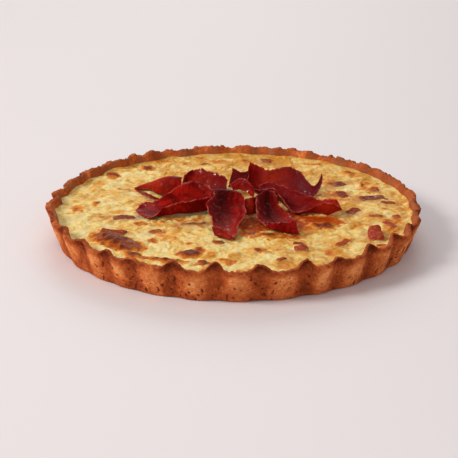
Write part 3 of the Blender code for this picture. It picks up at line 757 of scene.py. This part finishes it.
def crust_piece():
    """The crust: the wall with its swells, crumbs and pits, the underside and the floor."""
    rows = crust_rows()
    radius = np.array([row[0] for row in rows])
    height = np.array([row[1] for row in rows])
    share = np.array([np.full(CRUST_STEPS, row[2]) for row in rows])
    side = np.array([np.full(CRUST_STEPS, row[3]) for row in rows])

    even = wall_points(radius, height)
    swell = field(even, 9 * MM, 3.1).reshape(radius.shape)
    crumb = field(even, 2.6 * MM, 7.7, 3).reshape(radius.shape)
    torn = field(even, 1.5 * MM, 5.3, 2).reshape(radius.shape)

    # Pits in the outer side: the same mask sets their depth and paints shade inside them
    draw = random.Random("pits")
    pit = np.zeros_like(radius)
    outside = side == 0
    for _ in range(PITS):
        centre = draw.uniform(0, TAU)
        up = draw.triangular(0.5 * MM, 22 * MM, 4 * MM)
        wide = draw.triangular(0.3, 1.1, 0.4) * MM
        tall = wide * draw.choice((0.8, 1, 1.3, 2.6))
        lean = draw.uniform(-0.6, 0.6)
        turned = ((ANGLES - centre + math.pi) % TAU - math.pi) * RIM_RADIUS
        near = ((turned + lean * (height - up)) / wide) ** 2 + ((height - up) / tall) ** 2
        pit = np.maximum(pit, np.where(outside, np.exp(-near * np.maximum(0.4, 1.2 + 1.3 * torn)), 0))
    # The foot stays in place, and the inner side swells half as much
    free = smooth(height, 0.5 * MM, 3 * MM) * np.where(side == 1, 0.5, 1.0)
    outwards = 1 - 2 * side
    radius = radius + outwards * free * (WALL_SWELL * swell + WALL_CRUMB * crumb) - pit * PIT_DEPTH
    on_rim = smooth(share, 0.90, 1.0) * (side < 1)
    height = height + on_rim * (RIM_CRUMB * crumb + RIM_GRAIN * torn)

    # The rim is browned most, the wall darkens towards its foot, and the inner side is floury in places. The
    # grooves are painted darker as shade on top of their browning, most on the outer side towards the front
    deep = np.clip(GROOVES, 0, 1)[None, :] ** 0.8
    front = 0.5 - 0.5 * np.sin(ANGLES)[None, :]
    browning = 0.11 + (0.48 + 0.12 * front) * deep * (0.35 + 0.65 * share)
    browning += 0.23 * smooth(share, 0.75, 1.0) + 0.24 * smooth(1 - share, 0.4, 1.0)
    browning += 0.14 * swell - 0.11 * crumb
    browning = np.where(side > 0, 0.46 + 0.12 * deep + 0.3 * swell - 0.2 * crumb, browning)
    floury = smooth(side, 0.2, 0.9) * np.clip(0.26 + 0.5 * swell - 0.35 * crumb, 0, 0.7)

    points = wall_points(radius, height)
    faces = []
    count = CRUST_STEPS
    for row in range(len(rows) - 1):
        for i in range(count):
            j = (i + 1) % count
            faces.append((row * count + i, row * count + j, (row + 1) * count + j, (row + 1) * count + i))
    under, floor, last = len(points), len(points) + 1, (len(rows) - 1) * count
    points = np.vstack([points, (0, 0, 0), (0, 0, FLOOR_THICKNESS)])
    for i in range(count):
        j = (i + 1) % count
        faces.append((under, j, i))
        faces.append((floor, last + i, last + j))
    masks = {
        "browning": np.append(np.clip(browning, 0, 1).ravel(), (0.3, 0.3)),
        "pit": np.append(np.clip(pit * 1.1, 0, 1).ravel(), (0, 0)),
        "floury": np.append(floury.ravel(), (0, 0)),
    }
    return make("fluted_crust", points, faces, masks, pastry_finish(), "pastry", "crust")


# ---------------------------------------------------------------- custard


def custard_height(x, y):
    """The height of the CAD's custard."""
    lumps = lattice(x / LUMP_LENGTH, y / LUMP_LENGTH, LUMP_ROW)
    lumps += SMALL_LUMPS * lattice(x / LUMP_LENGTH * 2, y / LUMP_LENGTH * 2, SMALL_LUMP_ROW)
    height = CUSTARD_LEVEL + CUSTARD_LUMP * lumps
    for spec in BLISTERS:
        height += spec[5] * MM * blob(x, y, spec)
    return height


def disc_grid(cells):
    """Places on a disc of radius 1 for a square grid, as (radius, angle) in rows, with even spacing."""
    axis = np.linspace(-1, 1, cells + 1)
    a, b = np.meshgrid(axis, axis)
    wide = np.abs(a) >= np.abs(b)
    safe_a = np.where(a == 0, 1, a)
    safe_b = np.where(b == 0, 1, b)
    radius = np.where(wide, a, b)
    angle = np.where(wide, math.pi / 4 * b / safe_a, math.pi / 2 - math.pi / 4 * a / safe_b)
    x, y = radius * np.cos(angle), radius * np.sin(angle)
    return np.hypot(x, y).ravel(), np.arctan2(y, x).ravel()


def custard_piece():
    """The custard: its curds, blisters, browned places, stains and herbs."""
    share, angle = disc_grid(CUSTARD_CELLS)
    edge = inner_radius(FLUTE, EDGE_LEVEL) + CUSTARD_OVERLAP
    order = np.argsort(ANGLES % TAU)
    reach = np.interp(angle % TAU, (ANGLES % TAU)[order], edge[order], period=TAU)
    x, y = share * reach * np.cos(angle), share * reach * np.sin(angle)
    level = np.array([custard_height(a, b) for a, b in zip(x, y)])
    flat = np.stack([x, y, np.zeros_like(x)], axis=-1)
    warp = np.stack([field(flat, 7 * MM, 1.9), field(flat, 7 * MM, 4.2), np.zeros_like(x)], axis=-1)
    warped = flat + warp * WARP
    puff = np.abs(field(warped, 11 * MM, 2.3))
    small = np.abs(field(warped, 5 * MM, 6.1))
    fine = field(flat, 2.4 * MM, 8.8, 2)
    broad = field(flat, 19 * MM, 9.4, 2)
    patch = field(warped, 13 * MM, 11.6, 3)
    relief = LARGE_CURD * (puff - MEAN_CURD) + SMALL_CURD * (small - MEAN_CURD) + FINE_CURD * fine

    # The first blister is smoother, and scorched towards the right and the front
    blister = np.minimum(1, 1.6 * blob(x, y, BLISTERS[0]))
    relief *= 1 - 0.3 * blister
    down_right = (x - BLISTERS[0][0] * MM) * 0.75 - (y - BLISTERS[0][1] * MM) * 0.66
    scorch = blister * smooth(down_right + 3 * MM * broad, 7 * MM, 18 * MM) * 0.7
    scorch = np.maximum(scorch, blister * smooth(0.12 - small, 0.0, 0.12) * 0.7)
    for spec in BLISTERS[1:4]:
        scorch = np.maximum(scorch, 0.75 * blob(x, y, spec, 0.7) * smooth(patch, -0.2, 0.4))
    # Round the diced ham the custard is smoother, a little higher and stained with juice
    ring = np.zeros_like(x)
    juice = np.zeros_like(x)
    for centre_x, centre_y, length, width, _, turn, _, _, purple, _ in DICE:
        soaked = (centre_x, centre_y, length * 1.5 + 8, width * 1.3 + 5, turn)
        juice = np.maximum(juice, (0.5 + 0.35 * purple) * blob(warped[:, 0], warped[:, 1], soaked))
        wide = (centre_x, centre_y, length + 6, width + 6, turn)
        ring = np.maximum(ring, np.minimum(1, 2.5 * blob(x, y, wide, 1.0)))
    relief *= 1 - 0.6 * ring
    juice *= smooth(patch, -0.6, 0.2)
    from_wall = (1 - share) * reach
    climb = smooth(-from_wall, -CLIMB_WIDTH, 0) * (CLIMB + CLIMB_CHANGE * broad)
    height = level + relief * smooth(from_wall, 0, 2.5 * MM) + climb + ring * DICE_RING

    brown = np.zeros_like(x)
    for centre_x, centre_y, length, width, turn, strength in SPOTS:
        spread = (centre_x, centre_y, length * 1.35, width * 1.35, turn)
        brown = np.maximum(brown, strength * blob(warped[:, 0], warped[:, 1], spread, 0.9))
    high = smooth(puff + 0.5 * small, 0.25, 0.6)
    bare = 0.1 * smooth(-x, -70 * MM, 70 * MM)
    random_spots = smooth(patch - bare, 0.26, 0.7) * (0.3 + 0.5 * high)
    brown = np.maximum(brown * (0.8 + 0.35 * high), random_spots)
    near_wall = smooth(-from_wall, -5 * MM, -0.5 * MM)
    brown = np.maximum(brown, near_wall * smooth(patch + 0.3 * broad, -0.1, 0.5) * 0.35)

    # The oil gathers in the hollows between the curds, and the same mask paints orange into the shade under
    # the left slice's front edge
    oil_stain_and_shade = np.zeros_like(x)
    for spec in OIL_STAINS_AND_SHADE:
        oil_stain_and_shade = np.maximum(oil_stain_and_shade, spec[5] * blob(warped[:, 0], warped[:, 1], spec, 0.7))
    oil_stain_and_shade *= 0.6 + 0.6 * smooth(0.45 - puff - 0.4 * small, -0.2, 0.3)

    # The custard is more golden to the right and at the back, and paler and greener at the left edge. The
    # creases between the small curds are painted more golden, as warm shade
    tone = 0.40 + 0.45 * broad + 0.3 * (puff - MEAN_CURD) + 0.5 * (0.2 - small) + 0.3 * patch
    left = smooth(-x, 96 * MM, 125 * MM) * smooth(60 * MM - np.abs(y + 12 * MM), 0, 30 * MM)
    tone += 0.2 * smooth(x, -60 * MM, 50 * MM) + 0.28 * smooth(y, 50 * MM, 110 * MM) - 0.14 * left
    green_and_dip_shade = 0.35 * left * smooth(field(flat, 8 * MM, 14.2, 2), -0.2, 0.6)
    # Olive-grey painted in the low places between the curds, as shade
    green_and_dip_shade = np.maximum(green_and_dip_shade, 0.12 * smooth(field(warped, 10 * MM, 15.7, 2), 0.32, 0.7) * (1 - high))

    herb = np.zeros_like(x)
    draw = random.Random("herbs")
    for _ in range(HERBS):
        far = HERB_REACH * math.sqrt(draw.random())
        turn = draw.uniform(0, TAU)
        spec = (
            far * math.cos(turn) / MM, far * math.sin(turn) / MM,
            draw.uniform(2.2, 5), draw.uniform(1.4, 2.4), draw.uniform(0, 180),
        )
        herb = np.maximum(herb, draw.uniform(0.3, 0.85) * blob(x, y, spec, 0.7))

    points = np.stack([x, y, height], axis=-1)
    faces = grid_faces(CUSTARD_CELLS, CUSTARD_CELLS)
    side = CUSTARD_CELLS + 1
    # The grid's outermost points in order, joined down to the underside
    rim = list(range(side)) + [row * side + side - 1 for row in range(1, side)]
    rim += [(side - 1) * side + column for column in range(side - 2, -1, -1)]
    rim += [row * side for row in range(side - 2, 0, -1)]
    count, base = len(rim), len(points)
    lower = points[rim].copy()
    lower[:, :2] *= UNDERSIDE_SHARE
    lower[:, 2] = UNDERSIDE_LEVEL
    points = np.vstack([points, lower, (0, 0, UNDERSIDE_LEVEL)])
    for i in range(count):
        j = (i + 1) % count
        faces.append((rim[j], rim[i], base + i, base + j))
        faces.append((base + count, base + j, base + i))
    masks = {
        "tone": tone, "brown": brown, "scorch": scorch, "oil_stain_and_shade": oil_stain_and_shade, "green_and_dip_shade": green_and_dip_shade, "herb": herb,
        "juice": juice, "gloss": np.maximum(blister, 0.8 * oil_stain_and_shade),
    }
    below = np.zeros(count + 1)
    masks = {label: np.append(np.clip(values, 0, 1), below) for label, values in masks.items()}
    return make("baked_custard", points, faces, masks, custard_finish(), "custard", "custard")


# ---------------------------------------------------------------- diced ham


def dice_piece(number, spec, finish):
    """One piece of diced ham: a rounded block with torn, uneven sides."""
    x, y, length, width, height, angle, tilt, proud, purple, browned = spec
    axis = np.linspace(-0.5, 0.5, DICE_CELLS + 1)
    index, points, faces = {}, [], []

    def corner(i, j, k):
        if (i, j, k) not in index:
            index[i, j, k] = len(points)
            points.append((axis[i], axis[j], axis[k]))
        return index[i, j, k]

    for i in range(DICE_CELLS):
        for j in range(DICE_CELLS):
            quad = ((i, j), (i + 1, j), (i + 1, j + 1), (i, j + 1))
            for end in (0, DICE_CELLS):
                for layout in range(3):
                    face = []
                    for p, q in quad:
                        place = [p, q]
                        place.insert(layout, end)
                        face.append(corner(*place))
                    if (end == 0) != (layout == 1):
                        face.reverse()
                    faces.append(tuple(face))
    size = np.array((length, width, height)) * MM
    block = np.array(points) * size
    soft = min(length, width, height) * DICE_ROUNDING * MM
    core = np.clip(block, -(size / 2 - soft), size / 2 - soft)
    out = block - core
    reach = np.linalg.norm(out, axis=1, keepdims=True)
    block = core + np.where(reach > 0, out / np.maximum(reach, 1e-9) * np.minimum(reach, soft), 0)
    centre = np.array((x, y, 0)) * MM
    for wave, depth in DICE_TEARS:
        shift = [noise.noise_vector(Vector(p + centre) / wave) for p in block]
        block = block + np.array([tuple(s) for s in shift]) * depth * (1, 1, 0.5)
    level = custard_height(x * MM, y * MM) - (height / 2 - proud) * MM
    turn = Matrix.Rotation(math.radians(tilt), 3, "X") @ Matrix.Rotation(math.radians(angle), 3, "Z")
    placed = block @ np.array(turn).T + (x * MM, y * MM, level)
    surface = np.array([custard_height(p[0], p[1]) for p in placed])
    sunk = 1 - smooth(placed[:, 2] - surface, -0.2 * MM, 1.8 * MM)
    masks = {
        "purple": np.full(len(placed), purple),
        "browning": np.full(len(placed), browned * 0.7),
        "sunk": sunk * 0.6,
    }
    name, node = f"diced_ham_{number:02d}", f"ham_dice_{number:02d}"
    return make(name, placed, faces, masks, finish, "diced_ham", node)


# ---------------------------------------------------------------- crisp ham slices


def along_rail(rail, share):
    """The point at a share of a rail's length, on a smooth curve through the rail's own points."""
    spans = len(rail) - 1
    place = min(share, 1.0) * spans
    index = min(int(place), spans - 1)
    t = place - index
    before, start, end, after = (Vector(rail[min(max(index + i, 0), spans)]) for i in (-1, 0, 1, 2))
    curve = start * 2 + (end - before) * t
    curve += (before * 2 - start * 5 + end * 4 - after) * t**2
    curve += (start * 3 - end * 3 + after - before) * t**3
    return curve / 2 * MM


def slice_point(rails, along, across, frill):
    """A point on a slice. along runs from 0 to 1, and across from -1 at one edge to 1 at the other."""
    first, middle, last = (along_rail(rail, along) for rail in rails)
    point = middle + (last - first) / 2 * across + ((first + last) / 2 - middle) * across**2
    near_edge = max(across**4, (2 * along - 1) ** 8)
    point += noise.noise_vector(point / RUFFLE_LENGTH) * RUFFLE * near_edge
    point += noise.noise_vector(point / FRILL_LENGTH) * frill * near_edge
    point += noise.noise_vector(point / CRINKLE_LENGTH) * CRINKLE * near_edge
    point += noise.noise_vector(point / WAVE_LENGTH) * WAVE
    lowest = custard_height(point.x, point.y) + SLICE_CLEARANCE + SLICE_THICKNESS / 2
    point.z = max(point.z, lowest)
    return point


def slice_piece(name, rails, finish):
    """One crisp slice: a thin sheet with torn, frilled and pale edges."""
    frill = FRILL.get(name, PLAIN_FRILL) * MM
    slant = END_SLANT.get(name, 0.0)
    rows = SLICE_ROWS_PER_SPAN * (len(rails[0]) - 1)
    seed = random.Random(name).uniform(0, 50)
    points, shares = [], []
    for row in range(rows + 1):
        along = row / rows
        for column in range(SLICE_COLUMNS + 1):
            across = 2 * column / SLICE_COLUMNS - 1
            cut = sum(
                depth * lattice(along * waves, across * waves_across, seed)
                for depth, waves, waves_across in EDGE_TEARS
            )
            end_cut = END_TEAR * abs(lattice(across * 5, along * 0.6, seed + 9))
            end_cut += slant * (1 - across) / 2
            points.append(slice_point(rails, along * (1 - end_cut), across * (1 - abs(cut)), frill))
            shares.append((along, across))
    points = np.array([tuple(p) for p in points])
    faces = [(a, d, c, b) for a, b, c, d in grid_faces(rows, SLICE_COLUMNS)]

    grid = points.reshape(rows + 1, SLICE_COLUMNS + 1, 3)
    across_steps = np.linalg.norm(np.diff(grid, axis=1, prepend=grid[:, :1]), axis=2)
    along_steps = np.linalg.norm(np.diff(grid, axis=0, prepend=grid[:1]), axis=2)
    to_side = np.cumsum(across_steps, axis=1)
    to_end = np.cumsum(along_steps, axis=0)
    nearest = np.minimum.reduce([to_side, to_side[:, -1:] - to_side, to_end, to_end[-1:] - to_end])
    edge = 1 - smooth(nearest, 0.05 * MM, PALE_EDGE)

    along, across = np.array(shares).T
    inner, outer = PURPLE_AND_SHEEN.get(name, PLAIN_PURPLE)
    purple = inner + (outer - inner) * along
    streak = [0.5 + 0.7 * lattice(v * 5 + 4 * u, u * 5, seed) for u, v in shares]
    # Painted shade along the slice's trough, fading towards its outer end
    dark, off_middle = HOLLOW_SHADE.get(name, PLAIN_HOLLOW_SHADE)
    from_hollow = (across - off_middle) / (1 - abs(off_middle) / 2)
    hollow_shade = dark * np.maximum(0, 1 - from_hollow**2) ** 1.5 * (1 - 0.75 * smooth(along, 0.4, 0.8))
    place, length, strength = GLOW.get(name, PLAIN_GLOW)
    glow = strength * np.exp(-(((along - place) / length) ** 2)) * (1 - 0.6 * across**2)
    piece = make(
        name.replace("ham_slice", "crisp_ham"), points, faces,
        {"edge": edge.ravel(), "purple": purple, "streak": streak, "hollow_shade": hollow_shade, "glow": glow},
        finish, "crisp_ham", name,
    )
    shell = piece.modifiers.new("thickness", "SOLIDIFY")
    shell.thickness = SHEET_THICKNESS
    shell.offset = 0
    shell.use_even_offset = False
    return piece


# ---------------------------------------------------------------- stage


def stage():
    """A plain pale floor, soft studio light and the camera."""
    floor_mesh = bpy.data.meshes.new("floor")
    half = 6.0  # half the floor's side
    corners = [(-half, -half, 0), (half, -half, 0), (half, half, 0), (-half, half, 0)]
    floor_mesh.from_pydata(corners, [], [(0, 1, 2, 3)])
    floor = bpy.data.objects.new("floor", floor_mesh)
    bpy.context.scene.collection.objects.link(floor)
    paint = Finish("pale_floor")
    tint = paint.ramp(paint.noise(0.9, 2), (0.3, (0.81, 0.745, 0.745)), (0.7, (0.83, 0.765, 0.765)))
    floor_mesh.materials.append(paint.done(tint, 0.6, paint.bump(paint.noise(0.02, 2), 0.02 * MM)))

    def area(name, place, size, power, colour=(1, 1, 1)):
        light = bpy.data.lights.new(name, "AREA")
        light.shape = "DISK"
        light.size = size
        light.energy = power
        light.color = colour
        obj = bpy.data.objects.new(name, light)
        bpy.context.scene.collection.objects.link(obj)
        obj.location = place
        obj.rotation_euler = (-Vector(place)).to_track_quat("-Z", "Y").to_euler()

    area("key", (-2.0, -0.55, 1.55), 1.0, 43, (1.0, 0.985, 0.96))
    area("back", (0.0, 2.4, 1.5), 2.0, 20)
    area("fill", (0.4, -1.8, 0.8), 1.2, 5)

    world = bpy.data.worlds.new("studio")
    bpy.context.scene.world = world
    world.use_nodes = True
    background = world.node_tree.nodes["Background"]
    background.inputs["Color"].default_value = (1.0, 0.985, 0.98, 1)
    background.inputs["Strength"].default_value = 0.40

    camera = bpy.data.objects.new("camera", bpy.data.cameras.new("camera"))
    bpy.context.scene.collection.objects.link(camera)
    camera.location = CAMERA_PLACE
    camera.rotation_euler = (math.radians(90) - CAMERA_DIP, 0, 0)
    camera.data.sensor_width = 36
    camera.data.lens = CAMERA_LENS
    bpy.context.scene.camera = camera
    bpy.context.scene.view_settings.view_transform = "Standard"


crust_piece()
custard_piece()
diced = diced_finish()
for number, spec in enumerate(DICE, 1):
    dice_piece(number, spec, diced)
crisp = crisp_finish()
for name, rails in SLICES.items():
    slice_piece(name, rails, crisp)
stage()
